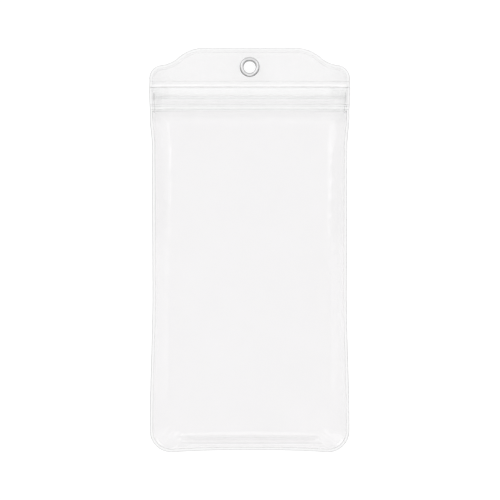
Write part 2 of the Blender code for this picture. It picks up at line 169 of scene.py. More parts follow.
# Clear plastic
CLEAR_IOR = 1.53
CLOUD_SCALE = 40.0
LAMP_SHARE = (0.985, 0.985, 0.985)  # of a lamp's light, let through by one surface
# name of the node that paints shade where a surface is seen slant
SLANT_SHADE = "painted slant shade"


def eased(distance, reach):
    """0 up to 1 over the reach, level at both ends."""
    t = np.clip(distance / reach, 0.0, 1.0)
    return t * t * (3.0 - 2.0 * t)


def arched(t):
    """0 up to 1, steep at first and level at the end."""
    return 1.0 - (1.0 - np.clip(t, 0.0, 1.0)) ** ARCH_POWER


def mix(a, b, t):
    return a + (b - a) * t


def bump_at(value, centre, width):
    """A rounded ridge of height 1 across a value."""
    return np.exp(-(((value - centre) / width) ** 2))


# The outline


def shoulder_drop():
    """From the top edge to where the shoulder's outer corner meets the side."""
    return (
        HEADER_CORNER_RADIUS * (1 - math.cos(SHOULDER_STEEP))
        + SHOULDER_HOLLOW_RADIUS * (math.cos(SHOULDER_GENTLE) - math.cos(SHOULDER_STEEP))
        + SHOULDER_CORNER_RADIUS * math.cos(SHOULDER_GENTLE)
    )


def side_x(y):
    """Half of the pouch's width below the shoulders."""
    shoulder_foot = TOP_Y - shoulder_drop()
    above = mix(HEADER_HALF, HALF_WIDTH, eased(shoulder_foot - y, shoulder_foot - MOUTH_Y))
    along = np.clip((MOUTH_Y - y) / (MOUTH_Y - CORNER_Y), 0.0, 1.0)
    pull = eased(TAPE_END_Y - y, UPPER_EASE) * eased(y - CORNER_Y, LOWER_EASE)
    below = mix(HALF_WIDTH, FOOT_HALF, along) - SIDE_PULL_IN * pull
    above_zip = eased(MOUTH_Y + DRAWN_ABOVE - y, DRAWN_ABOVE_EASE)
    below_zip = eased(y - MOUTH_Y + DRAWN_BELOW, DRAWN_BELOW_EASE)
    drawn_in = DRAWN_IN * above_zip * below_zip
    waist = WAIST * bump_at(y, MOUTH_Y - WAIST_DROP, WAIST_WIDTH)
    return np.where(y > MOUTH_Y, above, below) - drawn_in - waist


def foot_y(x):
    """The bottom edge between the corners."""
    reach = FOOT_HALF - FOOT_CORNER_RADIUS
    return FOOT_Y + FOOT_PULL_IN * (1.0 - np.clip(np.abs(x) / reach, 0.0, 1.0) ** FOOT_PULL_POWER)


def arc(centre_x, centre_y, radius, start, end, count):
    angles = np.linspace(start, end, count)
    return np.stack([centre_x + radius * np.cos(angles), centre_y + radius * np.sin(angles)], 1)


def right_shoulder():
    """Points from the side up over the shoulder to the flat of the top edge."""
    quarter = math.pi / 2
    corner_x = HEADER_HALF - SHOULDER_CORNER_RADIUS
    corner_y = TOP_Y - shoulder_drop()
    between = SHOULDER_CORNER_RADIUS + SHOULDER_HOLLOW_RADIUS
    hollow_x = corner_x + between * math.sin(SHOULDER_GENTLE)
    hollow_y = corner_y + between * math.cos(SHOULDER_GENTLE)
    between = HEADER_CORNER_RADIUS + SHOULDER_HOLLOW_RADIUS
    top_x = hollow_x - between * math.sin(SHOULDER_STEEP)
    top_y = TOP_Y - HEADER_CORNER_RADIUS
    start, end = -quarter - SHOULDER_GENTLE, -quarter - SHOULDER_STEEP
    return np.concatenate([
        arc(corner_x, corner_y, SHOULDER_CORNER_RADIUS, 0.0, quarter - SHOULDER_GENTLE, 24),
        arc(hollow_x, hollow_y, SHOULDER_HOLLOW_RADIUS, start, end, 22)[1:],
        arc(top_x, top_y, HEADER_CORNER_RADIUS, quarter - SHOULDER_STEEP, quarter, 26)[1:],
    ])


def mirrored(points):
    """The points of the right side carried over to the left, in reverse order."""
    return points[::-1] * (-1.0, 1.0)


def upper_edge(low_y):
    """The edge above a line across the pouch, anticlockwise from its right end to its left end."""
    shoulder = right_shoulder()
    rise = np.linspace(low_y, shoulder[0, 1], max(int((shoulder[0, 1] - low_y) / (0.7 * MM)), 3))[:-1]
    right = np.concatenate([np.stack([side_x(rise), rise], 1), shoulder])
    top = np.linspace(shoulder[-1, 0], -shoulder[-1, 0], 60)[1:-1]
    return np.concatenate([right, np.stack([top, np.full_like(top, TOP_Y)], 1), mirrored(right)])


def pocket_edge():
    """The edge below the zip, anticlockwise from its left end round the foot to its right end."""
    y = np.linspace(TAPE_END_Y, CORNER_Y, 210)
    corner_x = FOOT_HALF - FOOT_CORNER_RADIUS
    left = np.concatenate([
        np.stack([-side_x(y), y], 1),
        arc(-corner_x, CORNER_Y, FOOT_CORNER_RADIUS, math.pi, 1.5 * math.pi, 40)[1:],
    ])
    x = np.linspace(-corner_x, corner_x, 110)[1:-1]
    return np.concatenate([left, np.stack([x, foot_y(x)], 1), mirrored(left)])


def inset(loop, distance):
    """The closed loop moved inwards, with mitred corners."""
    before = loop - np.roll(loop, 1, axis=0)
    after = np.roll(loop, -1, axis=0) - loop
    before /= np.linalg.norm(before, axis=1)[:, None]
    after /= np.linalg.norm(after, axis=1)[:, None]
    normal = np.stack([-before[:, 1] - after[:, 1], before[:, 0] + after[:, 0]], 1)
    return loop + normal * (2 * distance / (normal ** 2).sum(1))[:, None]


def cut_edge():
    """The pouch's outline, anticlockwise from the right end of the zip's tape."""
    return np.concatenate([upper_edge(TAPE_END_Y), pocket_edge()[1:-1]])


def ply_edge():
    """A ply's own edge just inside the seam: its part above the zip's end and its part below."""
    whole, above = inset(cut_edge(), PLY_START), len(upper_edge(TAPE_END_Y))
    return whole[:above], whole[above:]


def ply_half(y):
    """Half of a ply's own width."""
    return float(side_x(y)) - PLY_START


def line_across(start_x, y, count=ACROSS):
    """Points straight across the pouch, from one side to the other."""
    x = np.linspace(start_x, -start_x, count)
    return np.column_stack([x, np.full_like(x, y)])


# Heights of the film


def pucker(points, reach_mm, seed):
    """A slow waver from -1 to 1 along an edge, from its distance walked."""
    steps = np.linalg.norm(points - np.roll(points, 1, axis=0), axis=1)
    walked = np.cumsum(steps) / (reach_mm * MM) * 2 * math.pi
    slower = np.sin(walked + seed) + 0.6 * np.sin(walked * 2.37 + 1.7 * seed)
    return (slower + 0.35 * np.sin(walked * 4.1 + seed)) / 1.95


def near_corner(points):
    """1 at the foot's corners, falling to 0 a little way from them."""
    out = np.abs(points[:, 0]) - (FOOT_HALF - FOOT_CORNER_RADIUS) - GATHER_SHIFT
    away = np.hypot(out, points[:, 1] - CORNER_Y + GATHER_SHIFT)
    return 1.0 - eased(away - GATHER_START, GATHER_FADE)


def corner_fold(x, y):
    """A short fold along each foot corner, just inside the seam."""
    out, up = np.abs(x) - CORNER_FOLD_X, y - CORNER_FOLD_Y
    across, along = (out - up) * math.sqrt(0.5), (out + up) * math.sqrt(0.5)
    return CORNER_FOLD * bump_at(across, 0.0, CORNER_FOLD_WIDTH) * bump_at(along, 0.0, CORNER_FOLD_LENGTH)


def uncrushed(x):
    """0 over the zip's crushed ends, rising to 1 inside them."""
    return eased(HALF_WIDTH - CRUSHED_LENGTH - np.abs(x), CRUSH_EASE)


def over_zip(x):
    """Height of the lip's inner face above the back ply, lower where the zip is crushed."""
    return mix(CRUSHED_LIP_HEIGHT, LIP_HEIGHT, uncrushed(x))


def zip_swell(x, y):
    """How the lip's film rides over the tape, the jaws and the tape's bead."""
    sag = -LIP_SAG * (1.0 - eased(MOUTH_Y - y, MOUTH_Y - JAWS_TOP_Y))
    below_top = eased(JAWS_TOP_Y - y + JAWS_EDGE, 2 * JAWS_EDGE)
    above_end = eased(y - JAWS_END_Y + JAWS_EDGE, 2 * JAWS_EDGE)
    bead = BEAD_SWELL * bump_at(y, TAPE_END_Y + BEAD_MIDDLE, BEAD_WIDTH)
    swell = sag + JAWS_SWELL * below_top * above_end + bead
    return swell * mix(CRUSHED_SWELL, 1.0, uncrushed(x))


def seam_pinch(x, y):
    """1 at the side seams falling to 0 just inside them, where the plies are drawn together."""
    return 1.0 - eased(side_x(y) - PLY_START - np.abs(x), PINCH_REACH)


def front_height(x, y, across, wave):
    """Height of the front ply's inner face above the back ply's welds."""
    held = mix(over_zip(x), SEAM_REST, eased(TAPE_END_Y - y, POCKET_EASE))
    held = mix(held, SEAM_REST, seam_pinch(x, y))
    flank = np.sin(np.pi * np.clip(across, 0.0, 1.0))
    height = mix(held, FIT + FRONT_BULGE, arched(across)) + wave * flank
    middle = 1.0 - eased(np.abs(x) - CREASE_HALF, CREASE_FADE)
    creases = sum(depth * bump_at(y, FOOT_Y + rise, width) for depth, rise, width in FOOT_CREASES)
    return height - creases * middle + corner_fold(x, y)


def back_height(x, y, across, wave):
    """Height of the back ply's inner face above its welds."""
    flank = np.sin(np.pi * np.clip(across, 0.0, 1.0))
    height = -BACK_BULGE * arched(across) + wave * flank + (FIT / 2 - PLY_GAP) * (1.0 - arched(across))
    return np.maximum(height, -BACK_BULGE)


# Laying the film


def turn_over(bm):
    bmesh.ops.reverse_faces(bm, faces=bm.faces)


def turn_outwards(bm):
    """Turns a closed surface's faces outwards."""
    if bm.calc_volume(signed=True) < 0:
        turn_over(bm)


class Skin:
    """One surface of film, laid in rows of points that bands of quads join."""

    def __init__(self):
        self.points = []
        self.faces = []
        self.count = 0

    def row(self, x, y, z):
        self.points.append(np.stack([x, y, np.broadcast_to(z, x.shape)], 1))
        self.count += len(x)
        return np.arange(self.count - len(x), self.count)

    def band(self, outer, inner, closed=True):
        quads = np.stack([outer, np.roll(outer, -1), np.roll(inner, -1), inner], 1)
        self.faces += quads[: None if closed else -1].tolist()

    def bands(self, rows, closed=True):
        for outer, inner in zip(rows, rows[1:]):
            self.band(outer, inner, closed)

    def cap(self, row):
        self.faces.append(row.tolist())

    def mesh(self, name, turn=None):
        """The surface as a mesh, with its faces turned where a way is given."""
        mesh = bpy.data.meshes.new(name)
        mesh.from_pydata(np.concatenate(self.points).tolist(), [], self.faces)
        bm = bmesh.new()
        bm.from_mesh(mesh)
        bmesh.ops.remove_doubles(bm, verts=bm.verts, dist=1e-7)
        if turn:
            turn(bm)
        bm.to_mesh(mesh)
        bm.free()
        mesh.shade_smooth()
        return mesh


def panel_place(x, y):
    """Where a point on the pocket's rim lands on the rim of its flat."""
    half = HALF_WIDTH - PLY_START
    panel_half = float(side_x(0.0)) - PLY_START - FLANK_WIDTH
    low = FOOT_Y + PLY_START
    panel_low = low + FOOT_PULL_IN + FLANK_WIDTH
    panel_top = TAPE_END_Y - POCKET_EASE
    return x * panel_half / half, mix(panel_low, panel_top, (y - low) / (TAPE_END_Y - low))


def lay_pocket(skin, rim, waver, height):
    """The dished pocket: its wavering flank in rings from the rim, then its flat."""
    x, y = rim[:, 0], rim[:, 1]
    panel_x, panel_y = panel_place(x, y)
    rows = []
    for across in np.linspace(0.0, 1.0, FLANK_RINGS) ** FLANK_CLOSENESS:
        px, py = mix(x, panel_x, across), mix(y, panel_y, across)
        rows.append(skin.row(px, py, WELD_Z + height(px, py, across, waver)))
    middle_y = (panel_y.max() + panel_y.min()) / 2
    for share in FLAT_RINGS:
        px, py = panel_x * share, mix(middle_y, panel_y, share)
        rows.append(skin.row(px, py, WELD_Z + height(px, py, 1.0, 0.0)))
    skin.bands(rows)
    skin.cap(rows[-1])


def soften_corners(mesh):
    """Eases the film's heights round the pocket's corners, less and less away from them."""
    bm = bmesh.new()
    bm.from_mesh(mesh)
    free = []
    for v in bm.verts:
        away = min(math.hypot(v.co.x - x, v.co.y - y) for x, y in POCKET_CORNERS)
        if v.co.y < TAPE_END_Y - 0.0001 and not v.is_boundary and away < EASED_REACH:
            free.append((away, v))
    free.sort(key=lambda pair: pair[0])
    for turn in range(EASING_TURNS):
        within = EASED_REACH * (1.0 - turn / EASING_TURNS)
        near = [v for away, v in free if away < within]
        if near:
            bmesh.ops.smooth_vert(
                bm, verts=near, factor=0.5, use_axis_x=False, use_axis_y=False, use_axis_z=True)
    bm.to_mesh(mesh)
    bm.free()
    return mesh


def settled(piece):
    """The piece as its modifiers leave it, a plain mesh with its real corners kept sharp."""
    graph = bpy.context.evaluated_depsgraph_get()
    result = bpy.data.meshes.new_from_object(piece.evaluated_get(graph))
    result.name = piece.name
    piece.modifiers.clear()
    piece.data = result
    bm = bmesh.new()
    bm.from_mesh(result)
    bmesh.ops.remove_doubles(bm, verts=bm.verts, dist=1e-8)
    turn_outwards(bm)
    bm.to_mesh(result)
    bm.free()
    result.shade_smooth()
    result.set_sharp_from_angle(angle=math.radians(SHARP_ABOVE))
    return piece


def finished(mesh):
    """A film piece: its surface given thickness on the side that it faces."""
    piece = bpy.data.objects.new(mesh.name, mesh)
    bpy.context.collection.objects.link(piece)
    shell = piece.modifiers.new("film", "SOLIDIFY")
    shell.thickness = FILM
    shell.offset = 1.0
    shell.use_even_offset = True
    return settled(piece)


def pocket_rim(lower, wavers, held):
    """The pocket's rim, closed along the zip's end, and the waver of its flank at each point."""
    line = line_across(ply_half(TAPE_END_Y), TAPE_END_Y)
    rim = np.concatenate([line[-1:], lower, line[:-1]])
    gathered = near_corner(rim)
    (flank, *flank_wave), (corner, *corner_wave) = wavers
    waver = flank * pucker(rim, *flank_wave) * (1 - gathered) + corner * pucker(rim, *corner_wave) * gathered
    return rim, np.where(np.abs(rim[:, 1] - TAPE_END_Y) < 1e-6, held * waver, waver)


def front_film():
    """The lip over the zip and the dished front of the pocket."""
    skin = Skin()
    rows = []
    for row_y in np.linspace(MOUTH_Y - LIP_BEAD / 2, TAPE_END_Y, LIP_ROWS):
        x, y = line_across(ply_half(row_y), row_y).T
        rows.append(skin.row(x, y, WELD_Z + mix(over_zip(x) + zip_swell(x, y), SEAM_REST, seam_pinch(x, y))))
    skin.bands(rows, closed=False)

    def height(px, py, across, wave):
        swell = zip_swell(px, py) * (1.0 - eased(TAPE_END_Y - py, SWELL_FADE))
        return front_height(px, py, across, wave) + swell * (1.0 - seam_pinch(px, py))

    lay_pocket(skin, *pocket_rim(ply_edge()[1], FRONT_WAVERS, FRONT_HELD), height)
    return finished(soften_corners(skin.mesh("front_film")))


def ring_to_hole(skin, loop, z):
    """Level film between an edge and the eyelet's hole."""
    turn = np.arctan2(loop[:, 1] - EYELET_Y, loop[:, 0])
    hole_x, hole_y = HOLE_RADIUS * np.cos(turn), EYELET_Y + HOLE_RADIUS * np.sin(turn)
    rows = []
    for share in np.linspace(0.0, 1.0, HOLE_RINGS) ** HOLE_CLOSENESS:
        rows.append(skin.row(mix(loop[:, 0], hole_x, share), mix(loop[:, 1], hole_y, share), z))
    skin.bands(rows)


def back_film():
    """The back ply: flat behind the header and the zip, dished behind the pocket."""
    upper, lower = ply_edge()
    line = line_across(ply_half(TAPE_END_Y), TAPE_END_Y)
    skin = Skin()
    header = np.concatenate([line[:1], upper[1:-1], line[::-1][:-1]])
    ring_to_hole(skin, header, WELD_Z + FIT / 2 - PLY_GAP)
    lay_pocket(skin, *pocket_rim(lower, BACK_WAVERS, BACK_HELD), back_height)
    return finished(soften_corners(skin.mesh("back_film", turn_over)))


def header_film():
    """The header's front ply."""
    low_y = MOUTH_Y + HEADER_LIFT
    whole = np.concatenate(ply_edge())
    above = whole[whole[:, 1] > low_y + 0.0004]
    skin = Skin()
    ring_to_hole(skin, np.concatenate([above, line_across(-ply_half(low_y), low_y)]), WELD_Z + SEAM_REST)
    return finished(skin.mesh("header_film"))


# Node trees


class Tree:
    """A node tree being built: names its sockets, adds nodes and feeds their inputs."""

    def __init__(self, tree):
        self.tree = tree
        self.input = None

    def given(self, name):
        return self.input.outputs[name]

    def socket(self, in_out, name, kind):
        self.tree.interface.new_socket(name, in_out=in_out, socket_type="NodeSocket" + kind)

    def feed(self, node, **links):
        """Gives each named input, or input number after an underscore, a value or a link."""
        for key, value in links.items():
            socket = node.inputs[int(key[1:])] if key[0] == "_" else node.inputs[key.replace("_", " ")]
            if isinstance(value, bpy.types.NodeSocket):
                self.tree.links.new(value, socket)
            else:
                socket.default_value = value
        return node

    def add(self, kind, settings=None, **links):
        node = self.tree.nodes.new(kind)
        for key, value in (settings or {}).items():
            setattr(node, key, value)
        return self.feed(node, **links)

    def math(self, operation, a, b=0.0, c=0.0, clamp=False):
        settings = {"operation": operation, "use_clamp": clamp}
        return self.add("ShaderNodeMath", settings, _0=a, _1=b, _2=c).outputs[0]

    def between(self, value, settings=None, **ends):
        """A value carried from one range to another."""
        return self.add("ShaderNodeMapRange", settings, Value=value, **ends).outputs[0]

    def eased(self, value, **ends):
        return self.between(value, {"interpolation_type": "SMOOTHSTEP"}, **ends)

    def fall(self, away, start, end):
        """1 up to the start, easing to 0 at the end."""
        return self.eased(away, From_Min=start, From_Max=end, To_Min=1.0, To_Max=0.0)

    def axes(self, vector):
        return self.add("ShaderNodeSeparateXYZ", Vector=vector).outputs

    def vector(self, **parts):
        return self.add("ShaderNodeCombineXYZ", **parts).outputs[0]

    def scaled(self, vector, factor):
        return self.add("ShaderNodeVectorMath", {"operation": "SCALE"}, _0=vector, Scale=factor).outputs[0]

    def object_place(self):
        return self.add("ShaderNodeTexCoord").outputs["Object"]

    def colour(self, share, first, second, **settings):
        """Two colours mixed."""
        settings = {"data_type": "RGBA", **settings}
        return self.add("ShaderNodeMix", settings, Factor=share, _6=first, _7=second).outputs[2]


class Growth(Tree):
    """A Geometry Nodes tree with named inputs, made into pieces by grown()."""

    def __init__(self, name, *inputs):
        super().__init__(bpy.data.node_groups.new(name, "GeometryNodeTree"))
        self.socket("OUTPUT", "Geometry", "Geometry")
        for socket, kind in (("Geometry", "Geometry"), *inputs, ("Material", "Material")):
            self.socket("INPUT", socket, kind)
        self.input = self.tree.nodes.new("NodeGroupInput")

    def along(self, curve):
        """The curve with its sections held upright."""
        return self.add("GeometryNodeSetCurveNormal", {"mode": "Z_UP"}, Curve=curve).outputs[0]

    def bar(self, radius):
        """A rectangle of the given width and thickness with rounded corners."""
        sides = {"Width": self.given("Width"), "Height": self.given("Thickness")}
        sharp = self.add("GeometryNodeCurvePrimitiveQuadrilateral", **sides).outputs[0]
        rounded = self.add("GeometryNodeFilletCurve", {"mode": "POLY"}, Curve=sharp, Count=4, Radius=radius)
        return rounded.outputs[0]

    def swept(self, path, section):
        solid = self.add("GeometryNodeCurveToMesh", Curve=path, Profile_Curve=section, Fill_Caps=True)
        return solid.outputs[0]

    def mirrored(self, vector, side):
        """A vector with its x times the side, 1 or -1."""
        sides = (side, 1.0, 1.0)
        return self.add("ShaderNodeVectorMath", {"operation": "MULTIPLY"}, _0=vector, _1=sides).outputs[0]

    def resampled(self, curve, count):
        return self.add("GeometryNodeResampleCurve", Curve=curve, Count=count).outputs[0]

    def moved(self, geometry, place):
        return self.add("GeometryNodeSetPosition", Geometry=geometry, Position=place).outputs[0]

    def end(self, geometry):
        """Smooth shading, real instances and the material, then the way out."""
        smooth = self.add("GeometryNodeSetShadeSmooth", Geometry=geometry).outputs[0]
        real = self.add("GeometryNodeRealizeInstances", Geometry=smooth).outputs[0]
        painted = self.add("GeometryNodeSetMaterial", Geometry=real, Material=self.given("Material"))
        self.add("NodeGroupOutput", Geometry=painted.outputs[0])
        return self.tree


def bar_growth():
    """A rounded bar swept along its path, with a low bead along it and a thinner outer rim."""
    n = Growth("rounded_bar_along_path", *((name, "Float") for name in (
        "Width", "Thickness", "Corner", "Rim Place", "Rim Fall", "Rim Share",
        "Bead Place", "Bead Half Width", "Bead Share")))
    path = n.along(n.add("GeometryNodeMeshToCurve", Mesh=n.given("Geometry")).outputs[0])
    bar = n.resampled(n.bar(n.given("Corner")), SECTION_POINTS)
    x, y, _ = n.axes(n.add("GeometryNodeInputPosition").outputs[0])
    from_bead = n.math("ABSOLUTE", n.math("SUBTRACT", x, n.given("Bead Place")))
    bead = n.eased(from_bead, From_Max=n.given("Bead Half Width"), To_Min=n.given("Bead Share"), To_Max=0.0)
    rim = n.between(
        n.math("SUBTRACT", x, n.given("Rim Place")), {"interpolation_type": "SMOOTHERSTEP"},
        From_Max=n.given("Rim Fall"), To_Min=1.0, To_Max=n.given("Rim Share"))
    tall = n.math("MULTIPLY", n.math("MULTIPLY_ADD", y, bead, y), rim)
    return n.end(n.swept(path, n.moved(bar, n.vector(X=x, Y=tall))))


def strip_growth():
    """A zip strip: its section swept across the pouch and crushed flat at both ends."""
    n = Growth("crushed_zip_strip", *((name, "Float") for name in (
        "Half Length", "Crushed Length", "Crush Ease", "Crushed Share", "Middle Height")))
    left = n.vector(X=n.math("MULTIPLY", n.given("Half Length"), -1.0))
    right = n.vector(X=n.given("Half Length"))
    line = n.add("GeometryNodeCurvePrimitiveLine", Start=left, End=right).outputs[0]
    section = n.add("GeometryNodeMeshToCurve", Mesh=n.given("Geometry")).outputs[0]
    strip = n.swept(n.along(n.resampled(line, STRIP_STEPS)), section)
    x, y, z = n.axes(n.add("GeometryNodeInputPosition").outputs[0])
    from_end = n.math("SUBTRACT", n.given("Half Length"), n.math("ABSOLUTE", x))
    from_crush = n.math("SUBTRACT", from_end, n.given("Crushed Length"))
    share = n.eased(from_crush, From_Max=n.given("Crush Ease"), To_Min=n.given("Crushed Share"))
    rise = n.math("SUBTRACT", z, n.given("Middle Height"))
    height = n.math("MULTIPLY_ADD", rise, share, n.given("Middle Height"))
    return n.end(n.moved(strip, n.vector(X=x, Y=y, Z=height)))


def ridge_growth():
    """Short rounded ridges laid side by side at both ends of the zip."""
    n = Growth("pressed_ridges", ("Count", "Int"), ("First Place", "Vector"), ("Step", "Vector"),
               ("Half Ridge", "Vector"), ("Width", "Float"), ("Thickness", "Float"))
    start = n.scaled(n.given("Half Ridge"), -1.0)
    line = n.add("GeometryNodeCurvePrimitiveLine", Start=start, End=n.given("Half Ridge")).outputs[0]
    ridge = n.swept(n.along(line), n.bar(n.math("MULTIPLY", n.given("Thickness"), ROUND_SHARE)))
    both = n.add("GeometryNodeJoinGeometry")
    for side in (-1.0, 1.0):
        first, step = (n.mirrored(n.given(name), side) for name in ("First Place", "Step"))
        points = n.add("GeometryNodeMeshLine", Count=n.given("Count"), Start_Location=first, Offset=step)
        laid = n.add("GeometryNodeInstanceOnPoints", Points=points.outputs[0], Instance=ridge)
        n.feed(both, _0=laid.outputs[0])
    return n.end(both.outputs[0])


def polyline(name, points, closed=False):
    """A mesh of edges along the points."""
    mesh = bpy.data.meshes.new(name)
    edges = [(i, i + 1) for i in range(len(points) - 1)]
    if closed:
        edges.append((len(points) - 1, 0))
    mesh.from_pydata([tuple(float(c) for c in p) for p in points], edges, [])
    return mesh


def grown(name, mesh, tree, **values):
    """The mesh that a node tree makes from its inputs, as a plain piece."""
    piece = bpy.data.objects.new(name, mesh)
    bpy.context.collection.objects.link(piece)
    modifier = piece.modifiers.new("nodes", "NODES")
    modifier.node_group = tree
    for item in tree.interface.items_tree:
        key = item.name.replace(" ", "_").lower()
        if item.in_out == "INPUT" and key in values:
            modifier[item.identifier] = values[key]
    return settled(piece)


# Materials


def shader(name, colour, roughness, ior=1.45, **others):
    """A material with one Principled shader; returns it with its tree and shader."""
    material = bpy.data.materials.new(name)
    material.use_nodes = True
    n = Tree(material.node_tree)
    node = n.tree.nodes["Principled BSDF"]
    n.feed(node, Base_Color=(*colour, 1.0), Roughness=roughness, IOR=ior, **others)
    return material, n, node


class Mask(Tree):
    """A shader node group that puts out masks, colours or values over the surface."""

    def __init__(self, name, inputs, outputs):
        super().__init__(bpy.data.node_groups.new(name, "ShaderNodeTree"))
        for in_out, sockets in (("INPUT", inputs), ("OUTPUT", outputs)):
            for socket, kind in sockets.items():
                self.socket(in_out, socket, kind)
        self.input = self.tree.nodes.new("NodeGroupInput")
        self.output = self.tree.nodes.new("NodeGroupOutput")


def film_group():
    """Faint cloudiness, roughness and ripple of calendered film, over Object coordinates."""
    n = Mask("calendered_film",
             {"Clear": "Color", "Cloudy": "Color", "Cloud Scale": "Float",
              "Smooth": "Float", "Rough": "Float", "Ripple Scale": "Float"},
             {"Colour": "Color", "Roughness": "Float", "Height": "Float"})
    where = n.object_place()
    cloud, ripple = (
        n.add("ShaderNodeTexNoise", Vector=where, Detail=detail, Scale=n.given(scale)).outputs["Fac"]
        for detail, scale in ((3.0, "Cloud Scale"), (2.0, "Ripple Scale")))
    tint = n.colour(cloud, n.given("Clear"), n.given("Cloudy"))
    gloss = n.between(cloud, To_Min=n.given("Smooth"), To_Max=n.given("Rough"))
    n.feed(n.output, Colour=tint, Roughness=gloss, Height=ripple)
    return n.tree


def band_group():
    """A band across the pouch: a mask that fades beside it and at its ends, and one for its ends alone."""
    n = Mask("band_across_pouch",
             dict.fromkeys(("Centre", "Half Width", "Fade", "Half Length", "End Fade"), "Float"),
             {"Mask": "Float", "Ends": "Float"})
    x, y, _ = n.axes(n.object_place())
    away = n.math("ABSOLUTE", n.math("SUBTRACT", y, n.given("Centre")))
    across = n.fall(away, n.given("Half Width"), n.math("ADD", n.given("Half Width"), n.given("Fade")))
    end = n.math("ADD", n.given("Half Length"), n.given("End Fade"))
    both = n.math("MULTIPLY", across, n.fall(n.math("ABSOLUTE", x), n.given("Half Length"), end))
    n.feed(n.output, Mask=both, Ends=n.math("SUBTRACT", across, both))
    return n.tree


def corner_group():
    """A mask that is 1 on a short line across each foot corner of the pouch."""
    n = Mask("corner_line",
             dict.fromkeys(("Across Corner", "Half Width", "Half Length"), "Float"), {"Mask": "Float"})
    x, y, _ = n.axes(n.object_place())
    out_x = n.math("MAXIMUM", n.math("SUBTRACT", n.math("ABSOLUTE", x), FOOT_HALF - FOOT_CORNER_RADIUS), 0.0)
    down = n.math("MAXIMUM", n.math("SUBTRACT", CORNER_Y, y), 0.0)

    def length(a, b):
        return n.math("SQRT", n.math("ADD", n.math("MULTIPLY", a, a), n.math("MULTIPLY", b, b)))

    off_line = n.math("SUBTRACT", length(out_x, down), n.given("Across Corner"))
    off_middle = n.math("SUBTRACT", out_x, down)
    away = length(n.math("DIVIDE", off_line, n.given("Half Width")),
                  n.math("DIVIDE", off_middle, n.given("Half Length")))
    n.feed(n.output, Mask=n.fall(away, 0.4, 1.2))
    return n.tree


def pass_lamps(n, node):
    """Lets lamp light through the film, as thin clear film does."""
    rays = n.add("ShaderNodeLightPath").outputs
    passed = n.math("MAXIMUM", rays["Is Shadow Ray"], rays["Is Diffuse Ray"])
    clear = n.add("ShaderNodeBsdfTransparent", Color=(*LAMP_SHARE, 1.0))
    choice = n.add("ShaderNodeMixShader", _0=passed, _1=node.outputs[0], _2=clear.outputs[0])
    n.feed(n.tree.nodes["Material Output"], Surface=choice.outputs[0])


def clear_plastic(name, tints, gloss, ripple, bump, ior=CLEAR_IOR, depth=0.5):
    """Clear PVC, faintly cloudy and rippled. Where its surface is seen slant, its colour goes to a painted
    slant shade: darker on the seams, welds, header and zip, paler on the pouch's film.
    """
    clear, cloudy, slant_shade = ((*tint, 1.0) for tint in tints)
    smooth, rough = gloss
    material, n, node = shader(name, tints[0], smooth, ior, Transmission_Weight=1.0)
    film = n.add("ShaderNodeGroup", {"node_tree": film_detail}, Clear=clear, Cloudy=cloudy,
                 Cloud_Scale=CLOUD_SCALE, Smooth=smooth, Rough=rough, Ripple_Scale=ripple).outputs
    slant = n.add("ShaderNodeLayerWeight", Blend=depth).outputs["Facing"]
    # painted shade: the colour goes to the slant shade where the surface is seen slant
    tint = n.colour(slant, film["Colour"], slant_shade, name=SLANT_SHADE)
    lift = n.add("ShaderNodeBump", Strength=1.0, Distance=bump, Height=film["Height"]).outputs[0]
    n.feed(node, Base_Color=tint, Roughness=film["Roughness"], Normal=lift)
    pass_lamps(n, node)
    return material


def tinted(material, group, part, tint, **values):
    """Multiplies a material's colour by a tint where a group's mask is 1."""
    n = Tree(material.node_tree)
    node = n.tree.nodes["Principled BSDF"]
    mask = n.add("ShaderNodeGroup", {"node_tree": group}, **values).outputs[part]
    before = node.inputs["Base Color"].links[0].from_socket
    n.feed(node, Base_Color=n.colour(mask, before, (*tint, 1.0), blend_type="MULTIPLY"))


def paler_slant_shade(material, slant_shade, **band):
    """A paler painted slant shade in a band across the pouch."""
    n = Tree(material.node_tree)
    slant = n.tree.nodes[SLANT_SHADE]
    mask = n.add("ShaderNodeGroup", {"node_tree": bands}, **band).outputs["Mask"]
    before = tuple(slant.inputs[7].default_value)
    n.feed(slant, _7=n.colour(mask, before, (*slant_shade, 1.0)))


def plated_metal(name, colour, edge_colour):
    """Polished nickel plate with the fine turning marks of a rolled eyelet, and painted shade on its slant
    edges that is lighter where they face the header's end.
    """
    material, n, node = shader(name, colour, 0.12, Metallic=1.0)
    where = n.object_place()
    centred = n.add("ShaderNodeMapping", Vector=where, Location=(0.0, -EYELET_Y, 0.0)).outputs[0]
    rings = n.add("ShaderNodeTexWave", {"wave_type": "RINGS", "rings_direction": "Z"}, Vector=centred,
                  Scale=TURNING_MARKS, Distortion=1.5)
    lift = n.add("ShaderNodeBump", Distance=TURNING_DEPTH, Height=rings.outputs["Fac"]).outputs[0]
    worn = n.add("ShaderNodeTexNoise", Vector=where, Scale=600.0).outputs["Fac"]
    gloss = n.between(worn, To_Min=0.08, To_Max=0.2)
    # painted shade on the edges seen slant, fading where the metal faces the header's end, as if lit from
    # there
    facing = n.add("ShaderNodeLayerWeight", Blend=0.5).outputs["Facing"]
    level = n.axes(n.add("ShaderNodeNewGeometry").outputs["Normal"])["Y"]
    fade = n.between(level, From_Min=-0.4, From_Max=0.7, To_Min=1.4, To_Max=0.25)
    painted_edge_shade = n.math("MULTIPLY", facing, fade, clamp=True)
    tint = n.colour(painted_edge_shade, (*colour, 1.0), (*edge_colour, 1.0))
    n.feed(node, Base_Color=tint, Roughness=gloss, Normal=lift)
    return material


# The eyelet


